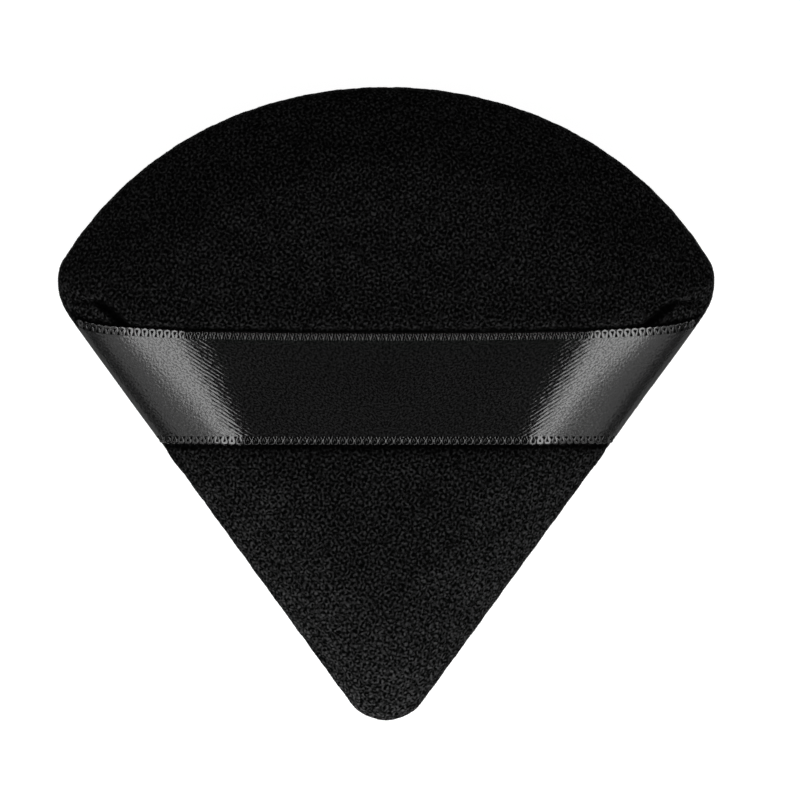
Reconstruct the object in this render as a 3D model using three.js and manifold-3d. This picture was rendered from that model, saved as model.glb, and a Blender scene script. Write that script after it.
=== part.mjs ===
// A velour powder puff: two cover panels sewn together round a foam core, with a satin ribbon
// finger strap that crosses the upper panel and is caught in the side seams.
// Millimetres, +Z up. The puff lies on its face side, with its tip towards -Y.

import * as THREE from 'three';
import { mergeGeometries, mergeVertices } from 'three/addons/utils/BufferGeometryUtils.js';
import Module from 'manifold-3d';

const wasm = await Module();
wasm.setup();

// Outline of the puff, seen from above
const puff_width = 70.1; // over the two upper corners
const arch_rise = 20.6; // from the widest line up to the middle of the arched top
const taper_length = 46.9; // from the widest line down to the tip
const arch_radius = 44.4; // middle stretch of the arched top
const arch_spread = 18.5; // degrees that this stretch reaches to each side
const corner_upper_radius = 4.2;
const corner_lower_radius = 6.8;
const tip_radius = 4.9;

// Thickness of the puff
const crown_rise = 6.2; // crown of each side above or below the seam
const seated_depth = 0.5; // how far the face side is pressed flat where it lies
const crown_sag = 0.45; // how much lower the crown lies at its rim
const shoulder_width = 8.6; // rounded shoulder, in from the outline
const shoulder_slope_share = 0.42; // how much of its fall is a straight slope, the rest is rounded
const seam_inset = 1.0; // how far the seam is drawn in from the outline
const rim_show = 0.55; // how far the face side stands out beyond the strap side

// Velour covers
const velour_thickness = 1.2;
const allowance_width = 2.8; // edge of each panel that is turned in at the seam
const allowance_thickness = 0.8;
const allowance_gap = 0.3; // between the two turned-in edges

// Foam core
const foam_clearance = 0.3;
const foam_lip = 0.3; // straight foam edge beside the turned-in edges

// Ribbon strap
const ribbon_width = 12.0;
const ribbon_thickness = 0.3;
const ribbon_drop = 11.6; // from the widest line down to the ribbon's middle
const ribbon_clearance = 0.25;
const ribbon_edge_rise = 1.55; // how far its upper edge climbs towards the seams

// Threads
const thread_diameter = 0.25;
const thread_clearance = 0.12;
const stitch_length = 3.6;
const opening_length = 28.0; // stretch of seam that is closed by hand after filling
const opening_side_share = 0.67; // place of its middle along the left side, from the corner

// Counts of facets
const arch_steps = 4;
const flank_steps = 5;
const corner_steps = 2;
const side_steps = 4;
const tip_steps = 6;
const outer_steps = [90, 62, 42, 25, 11, 0]; // degrees up the shoulder, crown first
const inner_steps = [90, 50, 22, 0];
const thread_sides = 4;
const least_radius_share = 0.05; // of a corner, where a line is drawn in past its radius

const velour_material = new THREE.MeshStandardMaterial({ color: 0x161617, roughness: 0.95, metalness: 0 });
const foam_material = new THREE.MeshStandardMaterial({ color: 0xe9e2d2, roughness: 0.9, metalness: 0 });
const ribbon_material = new THREE.MeshStandardMaterial({ color: 0x1b1b1c, roughness: 0.35, metalness: 0 });
const thread_material = new THREE.MeshStandardMaterial({ color: 0x121213, roughness: 0.6, metalness: 0 });

// Outline: the widest line is at y = widest_y, and the box of the outline is centred on zero
const radians = THREE.MathUtils.degToRad;
const puff_length = arch_rise + taper_length;
const top_y = puff_length / 2;
const tip_y = -puff_length / 2;
const widest_y = tip_y + taper_length;
const arch_centre = new THREE.Vector2(0, top_y - arch_radius);
const corner_centre = new THREE.Vector2(corner_upper_radius - puff_width / 2, widest_y);
const lower_corner_centre = new THREE.Vector2(corner_lower_radius - puff_width / 2, widest_y);
const tip_centre = new THREE.Vector2(0, tip_y + tip_radius);

// The flank arc touches the arch at its spread and the corner's upper arc
const spread_direction = new THREE.Vector2(-Math.sin(radians(arch_spread)), Math.cos(radians(arch_spread)));
const arch_from_corner = arch_centre.clone().sub(corner_centre);
const arch_less_corner = arch_radius - corner_upper_radius;
const flank_shift = (arch_less_corner ** 2 - arch_from_corner.lengthSq())
  / (2 * (arch_from_corner.dot(spread_direction) + arch_less_corner));
const flank_radius = arch_radius - flank_shift;
const flank_centre = arch_centre.clone().addScaledVector(spread_direction, flank_shift);
const flank_end = corner_centre.clone().sub(flank_centre).angle();

// The straight side touches the corner's lower arc and the tip's arc: its angle from the Y axis
const side_run = tip_centre.clone().sub(lower_corner_centre);
const side_angle = Math.acos((tip_radius - corner_lower_radius) / side_run.length())
  - Math.atan2(-side_run.y, side_run.x);
const side_out = new THREE.Vector2(-Math.cos(side_angle), -Math.sin(side_angle));

// The crown's middle is as far from the sides as from the top
const side_reach = tip_centre.dot(side_out) + tip_radius;
const crown_y = (top_y - side_reach) / (1 + Math.sin(side_angle));
const crown_reach = top_y - crown_y;

// Heights, measured from the seam and up from the surface that the puff lies on
const seam_height = crown_rise - seated_depth;
const allowance_foot = allowance_gap / 2;
const allowance_top = allowance_foot + allowance_thickness;
const thread_radius = thread_diameter / 2;
const run_height = allowance_top + thread_clearance + thread_radius;
const slot_height = run_height + thread_radius + foam_clearance;
const bulge_rise = slot_height + foam_lip;
const inner_crown_rise = crown_rise - velour_thickness;
const foam_crown_rise = inner_crown_rise - foam_clearance;

// Places drawn in from the outline
const thread_spread = thread_diameter + thread_clearance; // half of a loop inside its needle hole
const hole_size = 2 * (thread_spread + thread_radius + thread_clearance);
const allowance_root = rim_show + velour_thickness + thread_clearance;
const allowance_edge = seam_inset + allowance_width;
const stitch_inset = allowance_root + hole_size / 2;
const slot_floor = allowance_edge + foam_clearance;

// Outline drawn in by inset, anticlockwise from the arch's right end, as its arcs and straight sides
function outlineCurves(inset) {
  const arc = (centre, radius, from, to) => {
    const drawn = Math.max(radius - inset, radius * least_radius_share);
    return new THREE.EllipseCurve(centre.x, centre.y, drawn, drawn, from, to, false, 0);
  };
  const mirrored = (centre) => new THREE.Vector2(-centre.x, centre.y);
  const upright = Math.PI / 2;
  const spread = radians(arch_spread);
  const side_turn = Math.PI + side_angle;
  const left_corner = arc(lower_corner_centre, corner_lower_radius, Math.PI, side_turn);
  const tip = arc(tip_centre, tip_radius, side_turn, 3 * Math.PI - side_turn);
  const right_corner = arc(mirrored(lower_corner_centre), corner_lower_radius, -side_angle, 0);
  return [
    { curve: arc(arch_centre, arch_radius, upright - spread, upright + spread), steps: arch_steps },
    { curve: arc(flank_centre, flank_radius, upright + spread, flank_end), steps: flank_steps },
    { curve: arc(corner_centre, corner_upper_radius, flank_end, Math.PI), steps: corner_steps },
    { curve: left_corner, steps: corner_steps },
    { curve: new THREE.LineCurve(left_corner.getPoint(1), tip.getPoint(0)), steps: side_steps },
    { curve: tip, steps: tip_steps },
    { curve: new THREE.LineCurve(tip.getPoint(1), right_corner.getPoint(0)), steps: side_steps },
    { curve: right_corner, steps: corner_steps },
    { curve: arc(mirrored(corner_centre), corner_upper_radius, 0, Math.PI - flank_end), steps: corner_steps },
    { curve: arc(mirrored(flank_centre), flank_radius, Math.PI - flank_end, upright - spread), steps: flank_steps },
  ];
}

const left_side_index = 4; // of the straight left side in the list above

// One closed ring of points: the outline drawn in, shrunk towards the crown's middle, at a height
function ring(inset, share, height) {
  const points = outlineCurves(inset).flatMap(({ curve, steps }) =>
    Array.from({ length: steps }, (_, step) => curve.getPoint(step / steps)));
  return points.map((p) => new THREE.Vector3(p.x * share, crown_y + (p.y - crown_y) * share, height));
}

// Section of a crowned side: a low crown, and a shoulder that is partly a straight slope and partly
// a quarter of an ellipse
const shoulder_share = shoulder_width / crown_reach;
const shoulderShare = (degrees) => 1 - shoulder_share * (1 - Math.cos(radians(degrees)));

function shoulderHeight(crown, degrees) {
  const rim = crown - crown_sag;
  const sunk = crown_sag * shoulderShare(degrees) ** 2;
  const sloped = Math.cos(radians(degrees));
  const rounded = 1 - Math.sin(radians(degrees));
  const fall = THREE.MathUtils.lerp(rounded, sloped, shoulder_slope_share);
  return crown - sunk - (rim - bulge_rise) * fall;
}

// Rings of a crowned side, from near its crown down to its fullest part
function domeRings(inset, crown, steps) {
  return steps.map((degrees) => ring(inset, shoulderShare(degrees), shoulderHeight(crown, degrees)));
}

// Closed surface through rings from a first crown point to a last one; side -1 turns it upside down
function ringSolid(first_height, rings, last_height, side) {
  const points = rings.flat();
  const around = rings[0].length;
  const first = points.length;
  const last = first + 1;
  points.push(new THREE.Vector3(0, crown_y, first_height), new THREE.Vector3(0, crown_y, last_height));
  const triangles = [];
  for (let step = 0; step < around; step += 1) {
    const next = (step + 1) % around;
    triangles.push([first, step, next]);
    for (let row = 0; row + 1 < rings.length; row += 1) {
      const a = row * around;
      const b = a + around;
      triangles.push([a + step, b + step, b + next], [a + step, b + next, a + next]);
    }
    const end = (rings.length - 1) * around;
    triangles.push([last, end + next, end + step]);
  }
  const turned = side < 0 ? triangles.map((triangle) => [...triangle].reverse()) : triangles;
  return surface(points.map((p) => new THREE.Vector3(p.x, p.y, seam_height + side * p.z)), turned);
}

function surface(points, triangles) {
  const geometry = new THREE.BufferGeometry().setFromPoints(points);
  geometry.setIndex(triangles.flat());
  return geometry;
}

function solid(geometry) {
  const bare = geometry.clone();
  bare.deleteAttribute('normal');
  bare.deleteAttribute('uv');
  const merged = mergeVertices(bare);
  const vertProperties = new Float32Array(merged.attributes.position.array);
  const triVerts = new Uint32Array(merged.index.array);
  return new wasm.Manifold(new wasm.Mesh({ numProp: 3, vertProperties, triVerts }));
}

function cut(geometry, tools) {
  const left = tools.reduce((body, tool) => body.subtract(solid(tool)), solid(geometry));
  const mesh = left.getMesh();
  const result = new THREE.BufferGeometry();
  result.setAttribute('position', new THREE.BufferAttribute(mesh.vertProperties, 3));
  result.setIndex(new THREE.BufferAttribute(mesh.triVerts, 1));
  return result;
}

// Slab between an upper and a lower grid of points, rows along +X and columns along +Y
function slab(upper, lower) {
  const columns = upper[0].length;
  const rows = upper.length;
  const points = [...upper.flat(), ...lower.flat()];
  const up = (row, column) => row * columns + column;
  const down = (row, column) => rows * columns + up(row, column);
  const triangles = [];
  const quad = (a, b, c, d) => triangles.push([a, b, c], [a, c, d]);
  for (let row = 0; row + 1 < rows; row += 1) {
    for (let column = 0; column + 1 < columns; column += 1) {
      quad(up(row, column), up(row + 1, column), up(row + 1, column + 1), up(row, column + 1));
      quad(down(row, column), down(row, column + 1), down(row + 1, column + 1), down(row + 1, column));
    }
    quad(down(row, 0), down(row + 1, 0), up(row + 1, 0), up(row, 0));
    const far = columns - 1;
    quad(up(row, far), up(row + 1, far), down(row + 1, far), down(row, far));
  }
  for (let column = 0; column + 1 < columns; column += 1) {
    quad(up(0, column), up(0, column + 1), down(0, column + 1), down(0, column));
    const end = rows - 1;
    quad(down(end, column), down(end, column + 1), up(end, column + 1), up(end, column));
  }
  return surface(points, triangles);
}

// Point of the ribbon over the left side: across is its place over the ribbon's width, reach its
// way from the crown towards the side, and turned how far it has gone over the shoulder, 0 to 1
function ribbonPoint(across, reach, height, turned) {
  const rise = THREE.MathUtils.mapLinear(across, -ribbon_width / 2, ribbon_width / 2, 0, ribbon_edge_rise);
  const y = widest_y - ribbon_drop + across + turned * rise;
  const x = (reach + Math.sin(side_angle) * (y - crown_y)) / -Math.cos(side_angle);
  return new THREE.Vector3(x, y, seam_height + height);
}

const mirrorRows = (rows) => rows.map((row) => row.map((p) => new THREE.Vector3(-p.x, p.y, p.z)));

const ribbon_under_reach = crown_reach - rim_show + ribbon_clearance;
const ribbon_under_crown = crown_rise + ribbon_clearance;
const strap_end_height = ribbon_thickness / 2 + ribbon_clearance;
const across_ribbon = [-ribbon_width / 2, 0, ribbon_width / 2];

// One face of the strap over the left side, from the shoulder's start down to the seam
function strapHalf(thickness) {
  const reach = ribbon_under_reach + thickness;
  const crown = ribbon_under_crown + thickness;
  const rows = outer_steps.map((degrees) => across_ribbon.map((across) => ribbonPoint(
    across,
    reach * shoulderShare(degrees),
    shoulderHeight(crown, degrees),
    Math.cos(radians(degrees)) ** 1.5,
  )));
  return [...rows, across_ribbon.map((across) => ribbonPoint(across, reach, strap_end_height, 1))];
}

// The strap's free span, from seam to seam over the crown
function strapSpan() {
  const span = (thickness) => {
    const rows = strapHalf(thickness);
    const middle = across_ribbon.map((across) => new THREE.Vector3(
      0,
      widest_y - ribbon_drop + across,
      seam_height + ribbon_under_crown + thickness,
    ));
    return [...[...rows].reverse(), middle, ...mirrorRows(rows)];
  };
  return slab(span(ribbon_thickness), span(0));
}

// A sewn end of the ribbon, between the two turned-in edges; spare makes it the space for that end
function ribbonEnd(spare) {
  const outer = ribbon_under_reach + ribbon_thickness + spare;
  const inner = crown_reach - allowance_edge - spare;
  const widths = across_ribbon.map((across) => across * (1 + 2 * spare / ribbon_width));
  const half_thickness = ribbon_thickness / 2 + spare;
  const rows = (height) => [outer, inner].map((reach) =>
    widths.map((across) => ribbonPoint(across, reach, height, 1)));
  return { upper: rows(half_thickness), lower: rows(-half_thickness) };
}

function leftEnd(spare) {
  const end = ribbonEnd(spare);
  return slab(end.upper, end.lower);
}

function rightEnd(spare) {
  const end = ribbonEnd(spare);
  return slab(mirrorRows(end.upper).reverse(), mirrorRows(end.lower).reverse());
}

// Stitches lie evenly round the seam, counted from the middle of the opening
const seam_line = new THREE.CurvePath();
outlineCurves(stitch_inset).forEach(({ curve }) => seam_line.add(curve));
const seam_length = seam_line.getLength();
const stitch_count = Math.round(seam_length / stitch_length);
const opening_stitches = Math.floor(opening_length / 2 / stitch_length);
const curve_ends = seam_line.getCurveLengths();
const opening_place = THREE.MathUtils.lerp(
  curve_ends[left_side_index - 1],
  curve_ends[left_side_index],
  opening_side_share,
);

function stitchPlace(index) {
  const place = (opening_place / seam_length + index / stitch_count) % 1;
  const point = seam_line.getPoint(place);
  const along = seam_line.getTangent(place);
  return {
    angle: along.angle(),
    at: (forward, inward, height) => new THREE.Vector3(
      point.x + along.x * forward - along.y * inward,
      point.y + along.y * forward + along.x * inward,
      seam_height + height,
    ),
  };
}

const range = (from, to) => Array.from({ length: to - from + 1 }, (_, index) => from + index);
const closing_places = range(stitch_count - opening_stitches, stitch_count + opening_stitches).map(stitchPlace);
const machine_places = range(opening_stitches + 1, stitch_count - opening_stitches - 1).map(stitchPlace);

// Needle holes through both turned-in edges and through the ribbon's ends
function needleHoles() {
  const depth = 2 * (allowance_top + thread_clearance);
  return mergeGeometries([...closing_places, ...machine_places].map((place) => {
    const centre = place.at(0, 0, 0);
    return new THREE.BoxGeometry(hole_size, hole_size, depth)
      .rotateZ(place.angle)
      .translate(centre.x, centre.y, centre.z);
  }));
}

// Thread along points, mitred at each bend: the section is slid along to the plane between two runs
function thread(points) {
  const runs = points.slice(1).map((point, index) => point.clone().sub(points[index]).normalize());
  const side = new THREE.Vector3(0, 0, 1).cross(runs[0]).normalize();
  if (side.lengthSq() === 0) side.set(1, 0, 0);
  const rise = runs[0].clone().cross(side);
  const turns = Array.from({ length: thread_sides }, (_, index) => 2 * Math.PI * (index + 1 / 2) / thread_sides);
  let section = turns.map((turn) => points[0].clone()
    .addScaledVector(side, thread_radius * Math.cos(turn))
    .addScaledVector(rise, thread_radius * Math.sin(turn)));
  const sections = [section];
  runs.forEach((run, index) => {
    const next = points[index + 1];
    const facing = run.clone().add(runs[index + 1] ?? run).normalize();
    section = section.map((corner) => {
      const travel = next.clone().sub(corner).dot(facing) / run.dot(facing);
      return corner.clone().addScaledVector(run, travel);
    });
    sections.push(section);
  });
  const triangles = [];
  const last = (sections.length - 1) * thread_sides;
  for (let turn = 0; turn < thread_sides; turn += 1) {
    const next = (turn + 1) % thread_sides;
    for (let base = 0; base < last; base += thread_sides) {
      const ahead = base + thread_sides;
      triangles.push([base + turn, base + next, ahead + next], [base + turn, ahead + next, ahead + turn]);
    }
    if (turn > 0 && next > 0) {
      triangles.push([0, next, turn], [last, last + turn, last + next]);
    }
  }
  return surface(sections.flat(), triangles);
}

const tail_length = stitch_length / 4;

// Lockstitch: in each hole the needle thread's loop holds the bobbin thread's loop
function needleThread() {
  const path = machine_places.flatMap((place) => [
    place.at(-thread_spread, 0, run_height),
    place.at(-thread_spread, 0, -thread_radius - thread_clearance / 2),
    place.at(thread_spread, 0, -thread_radius - thread_clearance / 2),
    place.at(thread_spread, 0, run_height),
  ]);
  const start = machine_places[0].at(-thread_spread - tail_length, 0, run_height);
  const end = machine_places.at(-1).at(thread_spread + tail_length, 0, run_height);
  return thread([start, ...path, end]);
}

function bobbinThread() {
  const path = machine_places.flatMap((place) => [
    place.at(0, -thread_spread, -run_height),
    place.at(0, -thread_spread, thread_radius + thread_clearance / 2),
    place.at(0, thread_spread, thread_radius + thread_clearance / 2),
    place.at(0, thread_spread, -run_height),
  ]);
  const start = machine_places[0].at(-tail_length, -thread_spread, -run_height);
  const end = machine_places.at(-1).at(tail_length, thread_spread, -run_height);
  return thread([start, ...path, end]);
}

// Hand stitches that run by turns above and below the two turned-in edges
function closingThread() {
  const level = (index) => (index % 2 === 0 ? run_height : -run_height);
  const path = closing_places.flatMap((place, index) => [
    place.at(0, 0, level(index)),
    place.at(0, 0, level(index + 1)),
  ]);
  const start = closing_places[0].at(-tail_length, 0, level(0));
  const end = closing_places.at(-1).at(tail_length, 0, level(closing_places.length));
  return thread([start, ...path, end]);
}

// A cover panel: crowned side, drawn-in foot, turned-in edge with needle holes, and inner face
function cover(outline_inset, side, tools) {
  const rings = [
    ...domeRings(outline_inset, crown_rise, outer_steps),
    ring(THREE.MathUtils.lerp(outline_inset, seam_inset, 1 / 4), 1, (bulge_rise + allowance_foot) / 2),
    ring(seam_inset, 1, allowance_foot),
    ring(allowance_edge, 1, allowance_foot),
    ring(allowance_edge, 1, allowance_top),
    ring(allowance_root, 1, allowance_top),
    ...domeRings(outline_inset + velour_thickness, inner_crown_rise, inner_steps).reverse(),
  ];
  return cut(ringSolid(crown_rise, rings, inner_crown_rise, side), tools);
}

// Everything below the surface that the puff lies on
function table() {
  const width = 2 * puff_width;
  return new THREE.BoxGeometry(width, width, seated_depth * 2).translate(0, 0, -seated_depth);
}

function foamCore() {
  const strap_inset = rim_show + velour_thickness + foam_clearance;
  const face_inset = velour_thickness + foam_clearance;
  const below = (rows) => rows.map((row) => row.map((p) => new THREE.Vector3(p.x, p.y, -p.z)));
  const rings = [
    ...domeRings(strap_inset, foam_crown_rise, inner_steps),
    ring(strap_inset, 1, slot_height),
    ring(slot_floor, 1, slot_height),
    ring(slot_floor, 1, -slot_height),
    ring(face_inset, 1, -slot_height),
    ...below(domeRings(face_inset, foam_crown_rise, inner_steps).reverse()),
  ];
  return ringSolid(foam_crown_rise, rings, -foam_crown_rise, 1);
}

function part(name, geometry, material) {
  const mesh = new THREE.Mesh(geometry, material);
  geometry.computeVertexNormals();
  mesh.name = name;
  return mesh;
}

const holes = needleHoles();
const end_spaces = [leftEnd(ribbon_clearance), rightEnd(ribbon_clearance)];

const strap = new THREE.Group();
strap.add(part('ribbon_strap', strapSpan(), ribbon_material));

const pad = new THREE.Group();
pad.add(
  part('strap_side_cover', cover(rim_show, 1, [holes, ...end_spaces]), velour_material),
  part('face_side_cover', cover(0, -1, [holes, ...end_spaces, table()]), velour_material),
  part('foam_core', foamCore(), foam_material),
  part('ribbon_left_tab', cut(leftEnd(0), [holes]), ribbon_material),
  part('ribbon_right_tab', cut(rightEnd(0), [holes]), ribbon_material),
  part('seam_needle_thread', needleThread(), thread_material),
  part('seam_bobbin_thread', bobbinThread(), thread_material),
  part('closing_thread', closingThread(), thread_material),
);

const puff = new THREE.Group();
puff.add(pad, strap);

export default puff;
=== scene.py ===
"""Black velour powder puff with a satin finger strap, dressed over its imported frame.

Two velour panels, their nap, the foam core, the ribbon and its picot edges are made here, in
metres and in the frame's own place. The three sewing threads keep their CAD solids.
"""

import math

import bpy
import numpy as np
from bpy.props import FloatProperty, FloatVectorProperty, IntProperty, PointerProperty
from mathutils import Euler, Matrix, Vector


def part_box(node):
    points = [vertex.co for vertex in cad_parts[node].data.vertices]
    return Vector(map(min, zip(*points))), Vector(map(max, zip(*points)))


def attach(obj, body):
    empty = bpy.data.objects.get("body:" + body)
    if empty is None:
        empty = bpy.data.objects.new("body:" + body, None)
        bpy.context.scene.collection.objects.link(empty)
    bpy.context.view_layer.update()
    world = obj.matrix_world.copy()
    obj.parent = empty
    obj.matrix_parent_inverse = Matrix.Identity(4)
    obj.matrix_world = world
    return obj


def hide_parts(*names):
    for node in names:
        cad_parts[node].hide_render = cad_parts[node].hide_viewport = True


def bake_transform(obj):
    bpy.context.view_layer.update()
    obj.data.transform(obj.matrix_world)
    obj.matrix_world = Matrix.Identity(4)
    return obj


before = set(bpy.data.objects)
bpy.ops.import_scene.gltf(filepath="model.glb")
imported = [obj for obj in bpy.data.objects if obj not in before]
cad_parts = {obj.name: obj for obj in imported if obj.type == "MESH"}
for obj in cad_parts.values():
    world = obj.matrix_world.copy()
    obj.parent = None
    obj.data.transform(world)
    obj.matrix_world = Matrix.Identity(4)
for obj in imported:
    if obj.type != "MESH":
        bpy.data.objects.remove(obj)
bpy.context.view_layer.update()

bl_info = {
    "name": "Powder Puff",
    "version": (1, 0, 0),
    "blender": (4, 5, 0),
    "location": "3D View > Sidebar > Powder Puff",
    "description": "Velour powder puff with a satin finger strap, dressed over its packed frame",
    "category": "Add Mesh",
}

STRAP_SIDE, FACE_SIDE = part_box("strap_side_cover"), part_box("face_side_cover")

MM = 0.001
ALLOWANCE_FOOT = 0.15 * MM
SEAM_HEIGHT = FACE_SIDE[1][2] + ALLOWANCE_FOOT
MIRROR = np.array([-1.0, 1.0])

# From one ring of points to the next
SHOWN_STEP, HIDDEN_STEP, FOAM_STEP, CLOTH_STEP = 0.19 * MM, 1.1 * MM, 0.8 * MM, 1.3 * MM


# Settings that a user would change

def length(name, description, default, highest=0.1):
    """A length property in metres."""
    return FloatProperty(
        name=name, description=description, default=default,
        min=0.0, max=highest, precision=5, unit="LENGTH",
    )


def share(name, description, default, highest=1.0):
    """A plain number property."""
    return FloatProperty(name=name, description=description, default=default, min=0.0, max=highest)


def colour(name, description, default):
    """A colour property, as linear red, green and blue."""
    return FloatVectorProperty(
        name=name, description=description, default=default,
        min=0.0, max=1.0, size=3, subtype="COLOR",
    )


class PuffShape(bpy.types.PropertyGroup):
    """Outline and thickness of the whole puff"""

    width: length("Width", "Over the two upper corners", FACE_SIDE[1][0] - FACE_SIDE[0][0])
    height: length("Length", "From the tip to the arched top", FACE_SIDE[1][1] - FACE_SIDE[0][1])
    arch_rise: length("Arch rise", "From the widest line up to the top of the arch", 20.6 * MM)
    arch_radius: length("Arch radius", "Middle stretch of the arched top", 44.4 * MM)
    arch_spread: FloatProperty(
        name="Arch spread", description="How far that stretch reaches to each side",
        default=math.radians(18.5), subtype="ANGLE",
    )
    corner_upper_radius: length("Upper corner radius", "Above the widest line", 4.2 * MM)
    corner_lower_radius: length("Lower corner radius", "Below the widest line", 6.8 * MM)
    tip_radius: length("Tip radius", "Rounding of the tip", 4.9 * MM)
    crown_rise: length("Crown rise", "Crown of each side from the seam", STRAP_SIDE[1][2] - SEAM_HEIGHT)
    crown_sag: length("Crown sag", "How much lower the crown lies at its rim", 0.45 * MM)
    shoulder_width: length("Shoulder width", "Rounded shoulder, in from the outline", 8.6 * MM)
    shoulder_slope: share("Shoulder slope", "How much of the shoulder's fall is a straight slope", 0.42)
    bulge_rise: length("Bulge rise", "Fullest part of each side, from the seam", 1.92 * MM)
    seam_inset: length("Seam inset", "How far the seam is drawn in", 1.0 * MM)


class VelourSettings(bpy.types.PropertyGroup):
    """The two velour panels and their nap"""

    thickness: length("Thickness", "Velour with its backing", 1.2 * MM)
    arch_rim: length("Rim at the arch", "Face side shows this much beyond the strap side", 0.42 * MM)
    side_rim: length("Rim at the sides", "Face side shows this much at the straight sides", 0.12 * MM)
    allowance_width: length("Turned-in edge", "Width of the edge turned in at the seam", 2.8 * MM)
    allowance_thickness: length("Edge thickness", "Thickness of the turned-in edge", 0.8 * MM)
    clump_size: length("Clump size", "Half the width of the clumps that the nap lies in", 0.55 * MM)
    tuft_size: length("Tuft size", "Half the pitch of the pile's grain", 0.255 * MM)
    nap_depth: length("Nap depth", "Height of the clumps of the nap", 0.04 * MM)
    undulation: length("Undulation", "Height of the panel's slow waves", 0.05 * MM)
    stitch: length("Stitch", "One stitch of the seam", 3.6 * MM)
    pucker: length("Pucker", "How far each stitch draws the edge in", 0.02 * MM)
    pressure: share("Pressure", "Pressure of the filling in the cloth simulation", 4.0, 20.0)
    swelling: length("Swelling", "Most that the filling lifts a cover", 0.16 * MM)
    ribbon_bed: length("Ribbon bed", "How far the ribbon presses the velour down", 0.3 * MM)
    fibre_length: length("Fibre length", "Longest loose fibres of the nap", 0.18 * MM)
    fibre_width: length("Fibre width", "Width of a fibre's root", 0.045 * MM)
    fibre_count: IntProperty(
        name="Fibres", description="Loose fibres on each side", default=22000, min=0, max=60000,
    )
    tuft_colour: colour("Tuft colour", "Tops of the pile", (0.035, 0.035, 0.0355))
    # painted light: how much lighter the face side's rim is painted over its fold at the arch
    painted_rim_light: share("Painted rim light", "How much lighter the face side is over its fold at the arch", 3.0, 5.0)
    # painted shade: the pits between the tufts are darkened far below the pile's own colour
    pit_shade_colour: colour("Pit colour", "Between the tufts", (0.0003, 0.0003, 0.0003))


class RibbonSettings(bpy.types.PropertyGroup):
    """The satin finger strap"""

    width: length("Width", "Over its picot edges", 12.0 * MM)
    thickness: length("Thickness", "Woven body", 0.2 * MM)
    drop: length("Drop", "From the widest line down to the ribbon's middle", 11.6 * MM)
    edge_rise: length("Edge rise", "How far its upper edge climbs towards the seams", 1.75 * MM)
    lean: length("Lean", "How much sooner its upper edge turns over the shoulder", 0.75 * MM)
    fold_place: length("Fold", "From its middle to where its ribs open up", 18.2 * MM)
    sunk: length("Sunk", "Middle of the ribbon below the velour beside it", 0.1 * MM)
    seam_gap: length("Seam gap", "Room for a sewn end under each turned-in edge", 0.2 * MM)
    picot_width: length("Picot width", "Width of each looped edge", 0.94 * MM)
    picot_pitch: length("Picot pitch", "From one loop to the next", 0.825 * MM)
    picot_root: length("Picot root", "How far the loops run on over the woven body", 0.2 * MM)
    strand: length("Strand", "Width of the loops' flat yarn", 0.4 * MM)
    twill_pitch: length("Twill pitch", "From one satin rib to the next", 0.348 * MM)
    twill_depth: length("Twill depth", "Depth of the grooves between the ribs", 0.0125 * MM)
    satin_colour: colour("Satin colour", "Yarn of the ribbon", (0.0062, 0.0062, 0.0063))


class CoreSettings(bpy.types.PropertyGroup):
    """The foam core"""

    clearance: length("Clearance", "Between the foam and the velour's back", 0.3 * MM)
    pore_size: length("Pore size", "Cells of the foam", 0.7 * MM)
    foam_colour: colour("Foam colour", "Open cell foam", (0.72, 0.66, 0.55))


class StudioSettings(bpy.types.PropertyGroup):
    """Floor, lights and camera"""

    view_width: length("View width", "Width of the picture where the puff lies", 85.1 * MM, 1.0)
    view_distance: length("Camera distance", "From the camera to the puff", 0.62, 3.0)
    view_right: length("View right", "Middle of the picture, right of the puff's middle", 1.48 * MM)
    view_up: length("View up", "Middle of the picture, above the puff's middle", 0.34 * MM)
    floor_size: length("Floor size", "Side of the square floor", 3.0, 10.0)
    tip_light: share("Tip light", "Lamp on the tip's side, in watts", 0.255, 50.0)
    strip_light: share("Strip lights", "Each strip lamp high at the sides, in watts", 0.33, 50.0)
    side_light: share("Side panels", "Each panel beside the strips, in watts", 0.07, 50.0)
    low_light: share("Low lights", "Each lamp low at the corners, in watts", 0.62, 50.0)
    edge_light: share("Edge lights", "Each lamp low beside the ribbon's ends, in watts", 0.005, 50.0)
    arch_light: share("Arch light", "Lamp low behind the arch, in watts", 0.04, 50.0)
    fill: share("Fill", "Strength of the light from all round", 0.007, 2.0)


GROUPS = {
    "puff_shape": PuffShape,
    "puff_velour": VelourSettings,
    "puff_ribbon": RibbonSettings,
    "puff_core": CoreSettings,
    "puff_studio": StudioSettings,
}


# Node helpers

def join(made, inputs):
    """Sets a node's inputs, or links them to other nodes' results."""
    for key, value in inputs.items():
        value = getattr(value, "socket", value)
        if isinstance(value, bpy.types.NodeSocket):
            made.id_data.links.new(value, made.inputs[key])
        else:
            made.inputs[key].default_value = value
    return made


def node(tree, kind, inputs=None, **settings):
    """A node with its settings made and its inputs set or linked."""
    made = tree.nodes.new(kind)
    for name, value in settings.items():
        setattr(made, name, value)
    return join(made, inputs or {})


def value_of(tree, kind, inputs=None, output=0, **settings):
    """The result of a new node."""
    return Value(node(tree, kind, inputs, **settings).outputs[output])


def maths(operation, *values):
    """A Math node's result, in the tree of the first Value among its inputs."""
    tree = next(value.tree for value in values if isinstance(value, Value))
    return value_of(tree, "ShaderNodeMath", dict(enumerate(values)), operation=operation)


def math_method(name, turned=False):
    """A method that adds a Math node on this number and others; turned, it takes the others first."""
    def method(self, *others):
        return maths(name, *others, self) if turned else maths(name, self, *others)
    return method


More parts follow.
